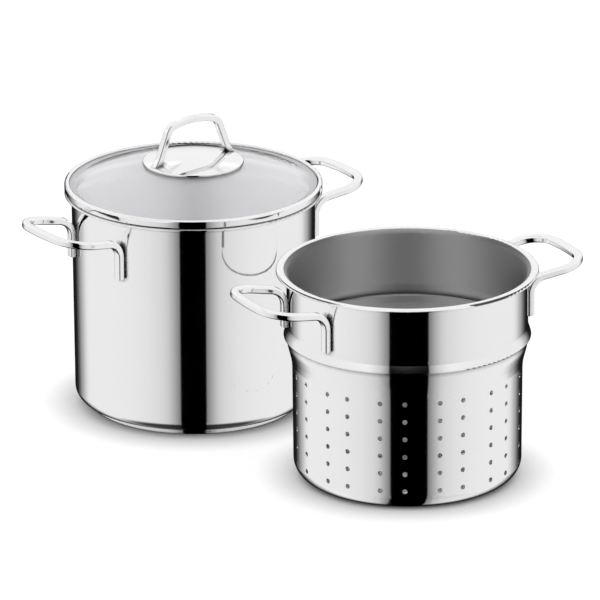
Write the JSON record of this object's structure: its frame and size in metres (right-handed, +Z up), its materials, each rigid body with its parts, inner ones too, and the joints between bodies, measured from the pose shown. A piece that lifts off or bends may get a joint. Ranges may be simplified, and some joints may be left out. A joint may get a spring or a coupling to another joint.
{
  "type": "pasta pot with strainer insert",
  "caption": "Tall steel pot with a heat-spreading base, a hanging perforated strainer insert and a steel-rimmed glass lid.",
  "frame": {"origin": "centre of the pot's base, on the surface that it stands on", "axes": "+Z up along the pot's axis, +X along the pot's two side handles; the strainer insert stands beside the pot on its -Y side"},
  "size_m": [0.347, 0.4592, 0.2482],
  "materials": {
    "polished_steel": "mirror-polished stainless steel outside, satin inside",
    "handle_steel": "polished stainless steel bar",
    "base_aluminium": "plain rolled aluminium, enclosed",
    "lid_glass": "clear toughened glass, smooth",
    "silicone": "translucent grey silicone, matt",
    "fastener_steel": "plain stainless steel"
  },
  "bodies": {
    "pot": {"pot_shell": "polished_steel", "pot_base_core": "base_aluminium", "pot_base_cap": "polished_steel", "pot_handle_left": "handle_steel", "pot_handle_right": "handle_steel"},
    "insert": {"insert_shell": "polished_steel", "insert_handle_left": "handle_steel", "insert_handle_right": "handle_steel"},
    "lid": {"lid_glass": "lid_glass", "lid_rim_band": "polished_steel", "lid_handle_plate": "handle_steel", "lid_handle_loop": "handle_steel", "lid_handle_boss": "fastener_steel", "lid_upper_gasket": "silicone", "lid_lower_gasket": "silicone", "lid_washer": "fastener_steel", "lid_lock_washer": "fastener_steel", "lid_screw": "fastener_steel"}
  },
  "joints": [
    {"name": "lid_lift", "type": "slide", "parent": "pot", "child": "lid", "axis": [0, 0, 1], "range_m": [0, 0.2]},
    {"name": "insert_lift", "type": "slide", "parent": "pot", "child": "insert", "axis": [0, 0, 1], "range_m": [0, 0.25]}
  ]
}
